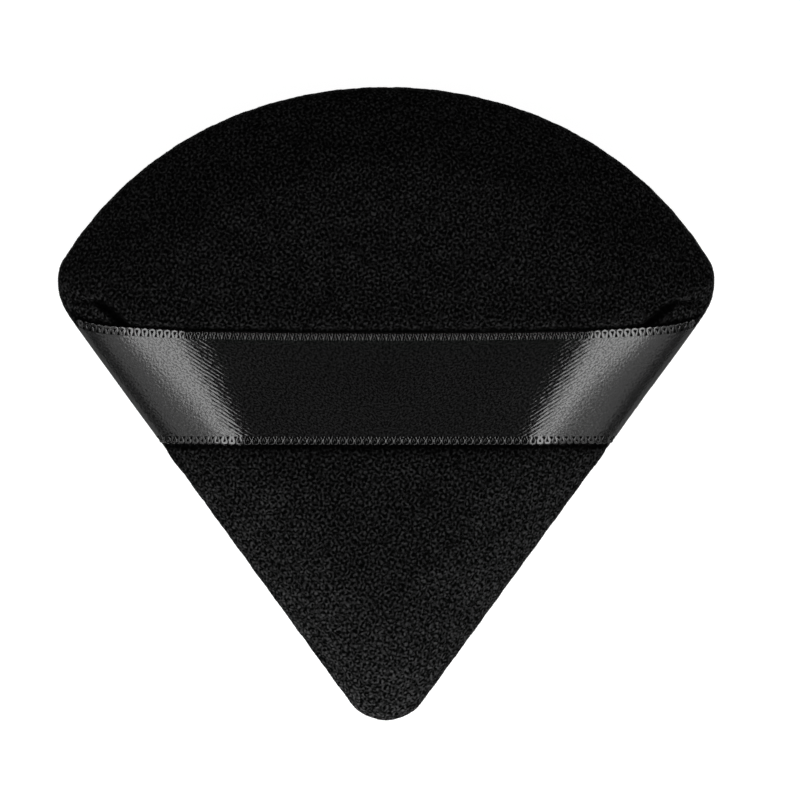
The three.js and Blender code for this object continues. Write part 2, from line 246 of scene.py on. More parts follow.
class Value:
    """A node's result. Reckoning with it adds nodes to its tree."""

    def __init__(self, socket):
        self.socket, self.tree = socket, socket.id_data

    __add__, __mul__, __abs__ = math_method("ADD"), math_method("MULTIPLY"), math_method("ABSOLUTE")
    __sub__, __rsub__ = math_method("SUBTRACT"), math_method("SUBTRACT", turned=True)
    __truediv__, __rtruediv__ = math_method("DIVIDE"), math_method("DIVIDE", turned=True)

    def vector_math(self, operation, inputs, output=0):
        """A Vector Math node on this vector and other inputs."""
        inputs = {0: self, **inputs}
        return value_of(self.tree, "ShaderNodeVectorMath", inputs, output, operation=operation)

    def scaled(self, factor):
        """This vector times a number."""
        return self.vector_math("SCALE", {"Scale": factor})

    def eased(self, low, high, from_value=0.0, to_value=1.0):
        """A smooth step of this number between low and high."""
        ends = {"From Min": low, "From Max": high, "To Min": from_value, "To Max": to_value}
        return value_of(
            self.tree, "ShaderNodeMapRange", {"Value": self, **ends}, interpolation_type="SMOOTHSTEP",
        )

    def noise(self, scale, detail=1.0, distortion=0.0, output=0):
        """A noise texture at this place."""
        inputs = {"Vector": self, "Scale": scale, "Detail": detail, "Distortion": distortion}
        return value_of(self.tree, "ShaderNodeTexNoise", inputs, output)

    def between(self, low, high):
        """A colour between two others, by this share."""
        colours = {6: (*low, 1.0), 7: (*high, 1.0)}
        return value_of(self.tree, "ShaderNodeMix", {"Factor": self, **colours}, 2, data_type="RGBA")

    def toned(self, base, darkest, lightest):
        """A colour between two shades of base, by this share."""
        return self.between([c * darkest for c in base], [c * lightest for c in base])


def combined(tree, x=0.0, y=0.0, z=0.0):
    """A vector from its parts."""
    return value_of(tree, "ShaderNodeCombineXYZ", {"X": x, "Y": y, "Z": z})


def named(tree, name, kind="FLOAT"):
    """A stored attribute, in a Geometry Nodes tree."""
    return value_of(tree, "GeometryNodeInputNamedAttribute", {"Name": name}, data_type=kind)


def new_tree(name, *numbers):
    """A Geometry Nodes tree, and its inputs by name: a mesh, these numbers and a material."""
    tree = bpy.data.node_groups.new(name, "GeometryNodeTree")
    tree.interface.new_socket("Geometry", in_out="OUTPUT", socket_type="NodeSocketGeometry")
    kinds = {"Geometry": "Geometry", "Seed": "Int", "Material": "Material"}
    for label in ("Geometry", *numbers, "Material"):
        kind = "NodeSocket" + kinds.get(label, "Float")
        tree.interface.new_socket(label, in_out="INPUT", socket_type=kind)
    return tree, {socket.name: Value(socket) for socket in tree.nodes.new("NodeGroupInput").outputs}


def ended(tree, geometry, material):
    """A tree, ended in Realize Instances and Set Material."""
    real = value_of(tree, "GeometryNodeRealizeInstances", {"Geometry": geometry})
    painted = value_of(tree, "GeometryNodeSetMaterial", {"Geometry": real, "Material": material})
    node(tree, "NodeGroupOutput", {"Geometry": painted})
    return tree


def grow(obj, tree, values):
    """Runs a Geometry Nodes tree on obj with these inputs and keeps the result as a plain mesh."""
    modifier = obj.modifiers.new(tree.name, "NODES")
    modifier.node_group = tree
    for item in tree.interface.items_tree:
        if item.in_out == "INPUT" and item.name in values:
            modifier[item.identifier] = values[item.name]
    graph = bpy.context.evaluated_depsgraph_get()
    made = bpy.data.meshes.new_from_object(
        obj.evaluated_get(graph), preserve_all_data_layers=True, depsgraph=graph,
    )
    obj.modifiers.clear()
    bare, obj.data = obj.data, made
    made.name = obj.name
    bpy.data.meshes.remove(bare)


# Mesh helpers

def linked(name, data):
    """A new object in the scene."""
    obj = bpy.data.objects.new(name, data)
    bpy.context.scene.collection.objects.link(obj)
    return obj


def mesh_object(name, points, faces, material=None):
    """A smooth mesh object from points and lists of equal-sided faces."""
    mesh = bpy.data.meshes.new(name)
    corners = np.concatenate([f.ravel() for f in faces])
    sides = np.concatenate([np.full(len(f), f.shape[1]) for f in faces])
    mesh.vertices.add(len(points))
    mesh.vertices.foreach_set("co", np.asarray(points, np.float32).ravel())
    mesh.loops.add(len(corners))
    mesh.loops.foreach_set("vertex_index", corners.astype(np.int32))
    mesh.polygons.add(len(sides))
    starts = np.concatenate([[0], np.cumsum(sides)[:-1]])
    mesh.polygons.foreach_set("loop_start", starts.astype(np.int32))
    mesh.polygons.foreach_set("use_smooth", np.ones(len(sides), bool))
    mesh.update(calc_edges=True)
    if material:
        mesh.materials.append(material)
    return linked(name, mesh)


def give(obj, name, values, kind="FLOAT"):
    """Stores values at obj's points under a name."""
    attribute = obj.data.attributes.new(name, kind, "POINT")
    field = "vector" if kind == "FLOAT_VECTOR" else "value"
    attribute.data.foreach_set(field, np.asarray(values, np.float32).ravel())


def ring_faces(counts, turned_over):
    """Faces between rings of points, from a first pole to a last one; a ring may have half or twice
    as many points as the one before it."""
    starts = np.concatenate([[0], np.cumsum(counts)])
    triangles, quads = [], []

    def corners(row, places):
        return starts[row] + places % counts[row]

    inner, outer, end = np.arange(counts[0]), np.arange(counts[-1]), len(counts) - 1
    triangles.append([np.full(counts[0], starts[-1]), corners(0, inner), corners(0, inner + 1)])
    for row, (here, there) in enumerate(zip(counts[:-1], counts[1:])):
        i = np.arange(min(here, there))
        a, a_next, b, b_next = (corners(row + k // 2, i + k % 2) for k in range(4))
        if here == there:
            quads.append([a, b, b_next, a_next])
        elif there == 2 * here:
            b = [corners(row + 1, 2 * i + k) for k in range(3)]
            triangles += [[a, b[0], b[1]], [a, b[1], a_next], [a_next, b[1], b[2]]]
        else:
            a = [corners(row, 2 * i + k) for k in range(3)]
            triangles += [[a[0], b, a[1]], [a[1], b, b_next], [a[1], b_next, a[2]]]
    last_pole = np.full(counts[-1], starts[-1] + 1)
    triangles.append([last_pole, corners(end, outer + 1), corners(end, outer)])
    step = -1 if turned_over else 1
    return [np.concatenate([np.stack(f, 1) for f in group])[:, ::step] for group in (triangles, quads)]


def smooth(value, low, high):
    """Smooth step of an array between low and high."""
    t = np.clip((value - low) / (high - low), 0, 1)
    return t * t * (3 - 2 * t)


def hump(value, width, power=2):
    """1 where value is 0, falling towards 0 over a width to each side."""
    return np.exp(-((value / width) ** power))


def slow_waves(points, longest, shortest, seed):
    """Slow waves over the points, about -1 to 1, the same in every run."""
    chance = np.random.default_rng(seed)
    total = np.zeros(points.shape[:-1])
    count, level = 16, 5
    for _ in range(count):
        turn, phase = chance.uniform(0, 2 * math.pi, 2)
        wave = 2 * math.pi / chance.uniform(shortest, longest)
        way = points[..., 0] * math.cos(turn) + points[..., 1] * math.sin(turn)
        total += np.cos(wave * way + phase)
    return total / level


def unit(vectors):
    """Vectors at length 1."""
    return vectors / np.maximum(np.linalg.norm(vectors, axis=-1, keepdims=True), 1e-12)


def walked_along(points):
    """Way walked along points, row by row."""
    steps = np.cumsum(np.linalg.norm(np.diff(points, axis=0), axis=-1), axis=0)
    return np.concatenate([np.zeros((1, *steps.shape[1:])), steps])


# Form of the puff

class Form:
    """Outline and section of the puff, by the same rules as the solids."""

    POINTS = 1136
    FIRST_PART = 0.006  # place of the ring next to the pole
    SLOPE_START = 0.2  # how softly the shoulder's slope begins
    CLIMB = (0.12, 0.37, 0.51)  # of the ribbon's edge: over the crown, the shoulder and its end
    LEANING = (2.4 * MM, 7.3 * MM)  # in from the outline, where the ribbon's upper edge turns sooner

    def __init__(self, scene):
        s = self.shape = scene.puff_shape
        self.ribbon = scene.puff_ribbon
        top, tip = s.height / 2, -s.height / 2
        self.widest_y = top - s.arch_rise
        arch = np.array([0.0, top - s.arch_radius])
        upper = np.array([s.corner_upper_radius - s.width / 2, self.widest_y])
        lower = np.array([s.corner_lower_radius - s.width / 2, self.widest_y])
        tip_centre = np.array([0.0, tip + s.tip_radius])

        # the flank's arc goes on from the arch's middle stretch and touches the upper corner
        spread = s.arch_spread
        out = np.array([-math.sin(spread), math.cos(spread)])
        away, less = arch - upper, s.arch_radius - s.corner_upper_radius
        shift = (less**2 - away @ away) / (2 * (away @ out + less))
        flank, flank_radius = arch + out * shift, s.arch_radius - shift
        flank_end = math.atan2(*(upper - flank)[::-1])

        # the straight side touches the lower corner and the tip
        run = tip_centre - lower
        opening = math.acos((s.tip_radius - s.corner_lower_radius) / np.linalg.norm(run))
        self.side_angle = opening - math.atan2(-run[1], run[0])
        side_out = -np.array([math.cos(self.side_angle), math.sin(self.side_angle)])
        side_reach = tip_centre @ side_out + s.tip_radius
        self.crown_y = (top - side_reach) / (1 + math.sin(self.side_angle))
        self.crown_reach = top - self.crown_y
        self.shoulder_share = s.shoulder_width / self.crown_reach

        upright, turn = math.pi / 2, math.pi + self.side_angle
        left = self.walked([
            (arch, s.arch_radius, upright, upright + spread),
            (flank, flank_radius, upright + spread, flank_end),
            (upper, s.corner_upper_radius, flank_end, math.pi),
            (lower, s.corner_lower_radius, math.pi, turn),
            (lower + s.corner_lower_radius * side_out, tip_centre + s.tip_radius * side_out, side_out),
            (tip_centre, s.tip_radius, turn, 1.5 * math.pi),
        ])
        self.base, self.out = (np.concatenate([half, (half[1:-1] * MIRROR)[::-1]]) for half in left)
        self.along = walked_along(self.base)
        self.perimeter = np.linalg.norm(np.roll(self.base, -1, 0) - self.base, axis=1).sum()

    def walked(self, curves):
        """Even steps along the left half of the outline, from the arch's top to the tip: points and
        their normals. An arc is a centre, a radius and two angles, a line two ends and its normal."""
        spans = [
            np.linalg.norm(c[1] - c[0]) if len(c) == 3 else c[1] * abs(c[3] - c[2]) for c in curves
        ]
        ends = np.concatenate([[0], np.cumsum(spans)])
        points, normals = [], []
        for place in np.linspace(0, ends[-1], self.POINTS // 2 + 1):
            index = min(int(np.searchsorted(ends, place, "right")) - 1, len(curves) - 1)
            part, curve = (place - ends[index]) / spans[index], curves[index]
            if len(curve) == 3:
                start, end, normal = curve
                points.append(start + (end - start) * part)
            else:
                centre, radius, start, end = curve
                angle = start + (end - start) * part
                normal = np.array([math.cos(angle), math.sin(angle)])
                points.append(centre + radius * normal)
            normals.append(normal)
        return np.array(points), np.array(normals)

    def ring(self, inset, part, height):
        """Outline drawn in by inset, shrunk towards the crown's middle, at a height above the seam."""
        flat = self.base - np.broadcast_to(np.asarray(inset), len(self.base))[:, None] * self.out
        x = flat[:, 0] * part
        y = self.crown_y + (flat[:, 1] - self.crown_y) * part
        return np.stack([x, y, np.broadcast_to(height, x.shape)], 1)

    def over(self, part):
        """How far across the shoulder a share of the way out is, 0 to 1."""
        return np.clip(1 - (1 - part) / self.shoulder_share, 0, 1)

    def crown(self, part, rise):
        """Height of a crowned side above the seam at a share of the way out."""
        s, over, soft = self.shape, self.over(part), self.SLOPE_START
        slope = (np.sqrt(over**2 + soft**2) - soft) / (math.hypot(1, soft) - soft)
        fall = s.shoulder_slope * slope + (1 - s.shoulder_slope) * (1 - np.sqrt(1 - over**2))
        return rise - s.crown_sag * part**2 - (rise - s.crown_sag - s.bulge_rise) * fall

    def turned(self, part):
        """How much of its climb the ribbon has made, 0 to 1: a little over the crown, then evenly
        over the shoulder, and fast at the end."""
        over, crown = self.over(part), np.clip(part / (1 - self.shoulder_share), 0, 1)
        return self.CLIMB[0] * crown**2 + self.CLIMB[1] * over + self.CLIMB[2] * over**8

    def lean(self, part, across):
        """Height that the ribbon gains or loses where it turns over the shoulder: pulled straight from
        end to end, it turns sooner at its upper edge than at its lower one."""
        s, r = self.shape, self.ribbon
        inwards = self.crown_reach * (1 - part)
        sooner = r.lean * np.clip(2 * across / r.width, -1, 1) * smooth(inwards, *self.LEANING)
        moved = np.clip(part + sooner / self.crown_reach, 0, 1)
        return self.crown(moved, s.crown_rise) - self.crown(part, s.crown_rise)

    def across_ribbon(self, y, turned):
        """Place over the ribbon's width of a point at y, 0 at the ribbon's middle."""
        r = self.ribbon
        middle = self.widest_y - r.drop + turned * r.edge_rise / 2
        return (y - middle) / (1 + turned * r.edge_rise / r.width)

    def shares(self, spacing):
        """Shares of the way out for rings a spacing apart: over the crown, and over the shoulder."""
        s = self.shape
        flat_end = 1 - self.shoulder_share
        count = max(2, int(flat_end * self.crown_reach / spacing))
        flat = np.linspace(self.FIRST_PART, flat_end, count)
        angles = np.linspace(0, math.pi / 2, 400)
        rise = s.crown_rise - s.crown_sag - s.bulge_rise
        steps = np.hypot(s.shoulder_width * np.cos(angles), rise * np.sin(angles))
        walked = np.concatenate([[0], np.cumsum((steps[1:] + steps[:-1]) / 2 * np.diff(angles))])
        count = max(2, int(walked[-1] / spacing))
        chosen = np.interp(np.linspace(0, walked[-1], count + 1)[1:], walked, angles)
        return flat, 1 - self.shoulder_share * (1 - np.sin(chosen))


def outward(grid):
    """Unit normals of a grid of rings, from the neighbouring points."""
    around = np.roll(grid, -1, 1) - np.roll(grid, 1, 1)
    return unit(np.cross(np.gradient(grid, axis=0), around))


# Crease of the tuck at the left corner, drawn in plan from the corner towards the ribbon
TUCK_LINE = np.array([(-33.4, 10.6), (-30.8, 10.8), (-29.3, 9.9), (-28.2, 9.0), (-27.4, 8.2)]) * MM


def from_tuck(points):
    """Distance in plan from each point to the tuck's crease."""
    best = np.full(points.shape[:-1], np.inf)
    for a, b in zip(TUCK_LINE[:-1], TUCK_LINE[1:]):
        run = b - a
        t = np.clip(((points - a) @ run) / (run @ run), 0, 1)
        best = np.minimum(best, np.linalg.norm(points - (a + t[..., None] * run), axis=-1))
    return best


def crease_at(points):
    """How dark a point of the strap side is from a corner's crease, 0 to 1: light hardly reaches
    the pile there."""
    flat = np.stack([-np.abs(points[:, 0]), points[:, 1] + 0.15 * MM], -1)
    thick = smooth(flat[:, 0], -32 * MM, -29.8 * MM)
    return (0.45 + 0.5 * thick) * hump(from_tuck(flat), (0.18 + 0.42 * thick) * MM, 6)


def swelling(form, velour):
    """How far the filling lifts a cover, on coarse rings out to the seam: a cloth simulation of a copy
    ten times the size, held at its seam."""
    stride, enlarged, frames, quality, most_sunk = 8, 10.0, 20, 6, 0.2
    parts = np.concatenate(form.shares(CLOTH_STEP))
    rise = form.shape.crown_rise
    rings = np.array([form.ring(0.0, part, form.crown(part, rise)) for part in parts])[:, ::stride]
    index = np.arange(rings[..., 0].size).reshape(rings.shape[:2])
    following = np.roll(index, -1, 1)
    quads = np.stack([index[:-1], index[1:], following[1:], following[:-1]], -1).reshape(-1, 4)
    fan = np.stack([np.full(rings.shape[1], index.size), index[0], following[0]], -1)
    points = np.concatenate([rings.reshape(-1, 3), [[0, form.crown_y, rise]]]) * enlarged
    cloth = mesh_object("cover_for_simulation", points, [fan, quads])
    held = cloth.vertex_groups.new(name="seam")
    held.add([int(i) for i in index[-1]], 1.0, "REPLACE")
    settings = cloth.modifiers.new("filling", "CLOTH").settings
    settings.vertex_group_mass = held.name
    settings.quality = quality
    settings.use_pressure = True
    settings.uniform_pressure_force = velour.pressure
    settings.effector_weights.gravity = 0.0
    scene = bpy.context.scene
    for number in range(1, frames + 1):
        scene.frame_set(number)
    evaluated = cloth.evaluated_get(bpy.context.evaluated_depsgraph_get())
    settled = np.empty(len(points) * 3, np.float32)
    evaluated.to_mesh().vertices.foreach_get("co", settled)
    evaluated.to_mesh_clear()
    scene.frame_set(1)
    mesh = cloth.data
    bpy.data.objects.remove(cloth)
    bpy.data.meshes.remove(mesh)
    moved = settled.reshape(-1, 3)[:-1].reshape(rings.shape) / enlarged - rings
    gained = (moved * outward(rings)).sum(-1)
    gained = gained * velour.swelling / max(velour.swelling, np.abs(gained).max())
    return parts, np.maximum(gained, -most_sunk * velour.swelling)


def between_rings(parts, values, finer_parts, count):
    """Values on coarse rings, worked out for finer rings of count points."""
    closed = np.concatenate([values, values[:, :1]], 1)
    places = np.arange(count) * values.shape[1] / count
    wide = np.array([np.interp(places, np.arange(closed.shape[1]), row) for row in closed])
    return np.array([np.interp(finer_parts, parts, column) for column in wide.T]).T


def relief(form, velour, points, parts, side, lifted):
    """Height added to a panel's outer face: the lift of the filling, slow waves, ribbon bed, corner
    tucks and puckers."""
    x, y = points[..., 0], points[..., 1]
    inwards = form.crown_reach * (1 - parts)[:, None]
    coarse = slow_waves(points, 15 * MM, 6 * MM, 11 + side)
    fine = slow_waves(points, 6 * MM, 3 * MM, 23 + side)
    free, at_seam = smooth(inwards, 0.5 * MM, 5 * MM), 1 - smooth(inwards, 0, 3 * MM)
    raised = velour.undulation * (coarse + 0.5 * fine) * free
    stitches = np.round(form.perimeter / velour.stitch) * form.along / form.perimeter
    raised = raised - velour.pucker * (np.cos(2 * math.pi * stitches)[None, :] + 1) * at_seam
    if side < 0:
        return raised + lifted

    # the ribbon's bed, with the pile standing a little higher beside it
    across = form.across_ribbon(y, form.turned(parts)[:, None])
    beyond = np.abs(across) - form.ribbon.width / 2
    bed = 1 - smooth(beyond, -0.3 * MM, 0.6 * MM)
    pressed = velour.ribbon_bed - form.lean(parts[:, None], across)
    swell_height, swell_place, swell_width, smoothed = 0.06 * MM, 1.3 * MM, 1.0 * MM, 0.8
    swell = swell_height * hump(beyond - swell_place, swell_width) * smooth(beyond, 0, 0.8 * MM)
    raised = raised * (1 - smoothed * bed) + lifted * (1 - bed) - pressed * bed + swell

    # the tuck at each corner: a sunk, rippled field between its crease and the ribbon
    flat = np.stack([-np.abs(x), y], -1)
    field_depth, ripple_depth, crease_depth, crease_width = 0.32 * MM, 0.1 * MM, 0.3 * MM, 0.3 * MM
    ripple_pitch, over_ripples = 1.7 * MM, flat[..., 0] * 0.83 + flat[..., 1] * 0.56
    rippled = field_depth + ripple_depth * np.cos(2 * math.pi * over_ripples / ripple_pitch)
    below = smooth(TUCK_LINE[1, 1] - y - 0.55 * (flat[..., 0] - TUCK_LINE[1, 0]), 0, 0.8 * MM)
    near = smooth(-flat[..., 0], 26.2 * MM, 28.4 * MM) * smooth(y, 5.5 * MM, 7.5 * MM)
    sunk = near * below * rippled + crease_depth * hump(from_tuck(flat), crease_width)
    return raised - sunk * (1 - bed)


def row_stride(part):
    """Every how many points of a ring are kept, fewer towards the crown's middle."""
    return 1 if part > 0.5 else 2 if part > 0.25 else 4 if part > 0.1 else 8


def hidden_rows(form, velour, rim, foot, inner_rise):
    """Rings that no view shows: under the turned-in edge, over it, and the panel's inner face."""
    inner_edge = form.shape.seam_inset + velour.allowance_width
    top, root = foot + velour.allowance_thickness, rim + velour.thickness
    places = [(inset, foot) for inset in np.linspace(form.shape.seam_inset, inner_edge, 8)[1:]]
    places += [(inner_edge, (foot + top) / 2), (inner_edge, top)]
    places += [(inner_edge + (root - inner_edge) * t, top) for t in (0.35, 0.7, 1.0)]
    rows = [form.ring(inset, 1.0, height) for inset, height in places]
    parts = np.concatenate(form.shares(HIDDEN_STEP))[::-1]
    return rows + [form.ring(root, part, form.crown(part, inner_rise)) for part in parts]


def panel_mesh(name, form, velour, side, lift, material):
    """One velour panel: crowned outer face, edge turned in at the seam, and inner face."""
    s = form.shape
    rim = np.zeros(form.POINTS)
    if side > 0:
        rim = velour.side_rim + (velour.arch_rim - velour.side_rim) * smooth(form.out[:, 1], -0.35, 0.2)
    crown_parts = np.concatenate(form.shares(SHOWN_STEP))
    rings = [form.ring(rim, part, form.crown(part, s.crown_rise)) for part in crown_parts]

    # the ribbon's ends need room between the turned-in edges
    half = form.ribbon.width / 2
    at_end = 1 - smooth(np.abs(form.across_ribbon(form.base[:, 1], 1.0)), half, half + 1 * MM)
    foot = ALLOWANCE_FOOT + (form.ribbon.seam_gap - ALLOWANCE_FOOT) * at_end
    turns = np.linspace(0, math.pi / 2, 9)[1:]
    for turn in turns:
        inset = rim + (s.seam_inset - rim) * (1 - math.cos(turn))
        rings.append(form.ring(inset, 1.0, s.bulge_rise - (s.bulge_rise - foot) * math.sin(turn)))
    grid = np.array(rings)
    parts = np.concatenate([crown_parts, np.ones(len(turns))])
    fade = np.concatenate([np.ones(len(crown_parts)), np.cos(turns) ** 2])
    raised = relief(form, velour, grid, parts, side, between_rings(*lift, parts, grid.shape[1]))
    grid = grid + outward(grid) * (raised * fade[:, None])[..., None]

    inner_rise = s.crown_rise - velour.thickness
    hidden = hidden_rows(form, velour, rim, foot, inner_rise)
    rows = [row[:: row_stride(part)] for row, part in zip(grid, parts)] + [row[::2] for row in hidden]
    counts = [len(row) for row in rows]
    poles = [[0, form.crown_y, rows[0][:, 2].mean()], [0, form.crown_y, inner_rise]]
    points = np.concatenate([*rows, poles])

    # nap: full on the outer face, short under the ribbon, none inside
    none = np.zeros(len(hidden))
    nap = np.concatenate([np.repeat(np.concatenate([fade, none]), counts), [1.0, 0.0]])
    crease = np.zeros(len(points))
    placed = points.copy()
    placed[:, 2] = SEAM_HEIGHT + side * points[:, 2]
    if side > 0:
        turned = np.concatenate([form.turned(parts), none + 1])
        turned = np.concatenate([np.repeat(turned, counts), [0.0, 0.0]])
        across = form.across_ribbon(points[:, 1], turned)
        beyond = np.abs(across) - half
        left_under_ribbon, edge_shade_depth, lower_shade = 0.1, 0.9, 0.26
        bare = smooth(np.abs(across), half - 0.1 * MM, half + 0.7 * MM)
        nap = nap * (left_under_ribbon + (1 - left_under_ribbon) * bare)
        # painted shade: a dark line along both edges of the ribbon, the ribbon's shadow painted on a
        # strip of pile below it, and the shade in each corner's crease
        edge_shade = edge_shade_depth * hump(beyond - 0.1 * MM, 0.3 * MM)
        shaded = lower_shade * (across < 0) * hump(beyond, 3 * MM)
        crease = np.maximum(np.maximum(crease_at(points), edge_shade), shaded) * (nap > 0)
    else:
        # the face side is pressed flat where it lies
        lowest, soft, shortened, outer = 0.05 * MM, 0.16 * MM, 0.85, sum(counts[: len(grid)])
        pressed = 1 - smooth(placed[:, 2], 0, 0.5 * MM)
        placed[:, 2] = lowest + soft * np.logaddexp(0, (placed[:, 2] - lowest) / soft)
        # the hidden rows, and with them the middle point underneath, which leaves a pinhole there
        placed[outer:, 2] = np.maximum(SEAM_HEIGHT - points[outer:, 2], velour.thickness * 0.7)
        nap = nap * (1 - shortened * pressed)
        # painted light: the face side's pile is painted lighter in a band over the fold behind the arch,
        # where light bounced from the floor catches its rim
        rim_light_band = hump(points[:, 2] - 0.75 * s.bulge_rise, 0.8 * MM) * (nap > 0)
        crease = -velour.painted_rim_light * rim_light_band * smooth(points[:, 1], 11 * MM, 15 * MM)
    obj = mesh_object(name, placed, ring_faces(counts, side < 0), material)
    kept_in_crease = 0.2
    give(obj, "nap_weight", nap * (1 - (1 - kept_in_crease) * np.maximum(crease, 0)))
    # painted light and shade, for the velour's colour: above 0 it darkens, below 0 it lightens
    give(obj, "crease", crease)
    return obj


# Geometry Nodes

def nap_tree():
    """Raises the nap of a panel in low clumps."""
    tree, given = new_tree("nap_relief", "Clump size", "Depth")
    place = value_of(tree, "GeometryNodeInputPosition")
    clumps = place.scaled(1.0 / given["Clump size"]).noise(1.0, distortion=0.6).eased(0.33, 0.62)
    height = (clumps - 0.5) * named(tree, "nap_weight")
    offset = value_of(tree, "GeometryNodeInputNormal").scaled(height * given["Depth"])
    moved = value_of(tree, "GeometryNodeSetPosition", {"Geometry": given["Geometry"], "Offset": offset})
    return ended(tree, moved, given["Material"])


def fibre_tree():
    """Scatters loose fibres over a panel."""
    tree, given = new_tree("nap_fibres", "Density", "Length", "Width", "Seed")
    spread = node(tree, "GeometryNodeDistributePointsOnFaces", {
        "Mesh": given["Geometry"], "Seed": given["Seed"],
        "Density": given["Density"] * named(tree, "nap_weight").eased(0.3, 0.8),
    }, distribute_method="RANDOM")
    cone = value_of(tree, "GeometryNodeMeshCone", {
        "Vertices": 3, "Side Segments": 1, "Fill Segments": 1, "Radius Top": 0.0,
        "Radius Bottom": given["Width"] / 2.0, "Depth": given["Length"],
    }, "Mesh", fill_type="NGON")
    root = combined(tree, z=given["Length"] * -0.2)
    sunk = value_of(tree, "GeometryNodeTransform", {"Geometry": cone, "Translation": root})
    lean = value_of(tree, "FunctionNodeRandomValue", {
        "Min": (-0.75, -0.75, -3.14), "Max": (0.95, 0.75, 3.14), "Seed": given["Seed"],
    }, data_type="FLOAT_VECTOR")
    leaning = value_of(tree, "FunctionNodeEulerToRotation", {"Euler": lean})
    turned = value_of(tree, "FunctionNodeRotateRotation", {
        "Rotation": spread.outputs["Rotation"], "Rotate By": leaning,
    }, rotation_space="LOCAL")
    size = value_of(
        tree, "FunctionNodeRandomValue", {2: 0.45, 3: 1.0, "Seed": given["Seed"]}, 1, data_type="FLOAT",
    )
    strewn = value_of(tree, "GeometryNodeInstanceOnPoints", {
        "Points": spread.outputs["Points"], "Instance": sunk, "Rotation": turned, "Scale": size,
    })
    return ended(tree, strewn, given["Material"])


def leg_curve(way, places):
    """A smooth curve of way through (way, value) places."""
    made = node(way.tree, "ShaderNodeFloatCurve", {"Value": way})
    curve = made.mapping.curves[0]
    for place in places[1:-1]:
        curve.points.new(*place)
    curve.points[0].location = places[0]
    curve.points[len(curve.points) - 1].location = places[-1]
    made.mapping.update()
    return Value(made.outputs[0])


def picot_tree():
    """Sets yarn loops a pitch apart along an edge line. Each closes round a slot, knots below it,
    and leaves a hole to each side of its knot."""
    tree, given = new_tree("picot_edge", "Pitch", "Reach", "Root", "Strand")
    line = value_of(tree, "GeometryNodeMeshToCurve", {"Mesh": given["Geometry"]})
    places = node(
        tree, "GeometryNodeCurveToPoints", {"Curve": line, "Length": given["Pitch"]}, mode="LENGTH",
    ).outputs
    facing = value_of(tree, "FunctionNodeAxesToRotation", {
        "Primary Axis": places["Tangent"], "Secondary Axis": named(tree, "outwards", "FLOAT_VECTOR"),
    }, primary_axis="X", secondary_axis="Y")

    # one loop, from one leg over its top to the other leg; places are shares of its pitch and depth
    run = value_of(tree, "GeometryNodeCurvePrimitiveLine", {"Start": (-1, 0, 0), "End": (1, 0, 0)})
    run = value_of(tree, "GeometryNodeResampleCurve", {"Curve": run, "Count": 11})
    at = value_of(tree, "ShaderNodeSeparateXYZ", {0: value_of(tree, "GeometryNodeInputPosition")})
    way = abs(at)
    aside = leg_curve(way, [
        (0, 0), (0.1, 0.2), (0.2, 0.3), (0.35, 0.315), (0.52, 0.3), (0.68, 0.14), (0.8, 0.13), (1, 0.31),
    ])
    inwards = leg_curve(way, [
        (0, 0.16), (0.1, 0.16), (0.2, 0.2), (0.35, 0.38), (0.52, 0.5), (0.68, 0.64), (0.8, 0.78), (1, 1),
    ])
    raised = leg_curve(way, [(0, 0.5), (0.5, 0.4), (0.74, 1), (0.9, 0.4), (1, 0)])
    strand, reach = given["Strand"], given["Reach"]
    bent = value_of(tree, "GeometryNodeSetPosition", {"Geometry": run, "Position": combined(
        tree, maths("SIGN", at) * (aside * given["Pitch"]),
        reach - inwards * (reach + given["Root"]), raised * (strand * 0.5),
    )})
    yarn = value_of(tree, "GeometryNodeCurvePrimitiveCircle", {
        "Resolution": 6, "Radius": strand / 2.0,
    }, mode="RADIUS")
    thick = value_of(tree, "GeometryNodeCurveToMesh", {
        "Curve": bent, "Profile Curve": yarn, "Fill Caps": True,
    })
    strung = value_of(tree, "GeometryNodeInstanceOnPoints", {
        "Points": places["Points"], "Instance": thick, "Rotation": facing,
        "Scale": combined(tree, 1.0, 1.0, named(tree, "roundness")),
    })
    return ended(tree, strung, given["Material"])


# Materials

def new_material(name, constants):
    """A node material, its Principled shader with these constants, and the place in its object."""
    material = bpy.data.materials.new(name)
    material.use_nodes = True
    tree = material.node_tree
    tree.nodes.clear()
    shader = node(tree, "ShaderNodeBsdfPrincipled", constants)
    node(tree, "ShaderNodeOutputMaterial", {"Surface": shader.outputs[0]})
    return material, shader, value_of(tree, "ShaderNodeTexCoord", output="Object")


def surface(shader, tone, height, strength, distance):
    """Gives a shader its colour and its bump."""
    inputs = {"Height": height, "Strength": strength, "Distance": distance}
    join(shader, {"Base Color": tone, "Normal": value_of(tone.tree, "ShaderNodeBump", inputs)})


